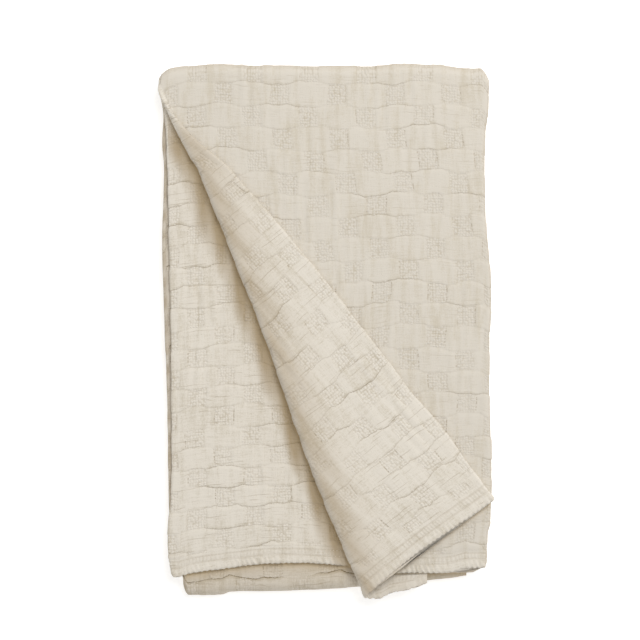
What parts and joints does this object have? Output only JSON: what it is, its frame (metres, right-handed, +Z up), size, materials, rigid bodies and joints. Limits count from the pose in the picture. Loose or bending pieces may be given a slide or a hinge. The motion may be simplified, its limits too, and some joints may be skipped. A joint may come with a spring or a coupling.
{
  "type": "folded coverlet",
  "caption": "Quilted-weave cotton coverlet folded flat for a shelf, with one corner pair of layers turned back over a slanting crease.",
  "frame": {"origin": "on the surface the folded coverlet lies on, under the middle of its box", "axes": "+Z up from the surface, +Y towards the closed top fold, +X to the right as seen from above"},
  "size_m": [0.4562, 0.7264, 0.0559],
  "materials": {
    "cloth": "natural cream cotton matelasse, matt, puffed blocks between pebbled patches"
  },
  "bodies": {
    "root": {"coverlet": "cloth"}
  },
  "joints": []
}
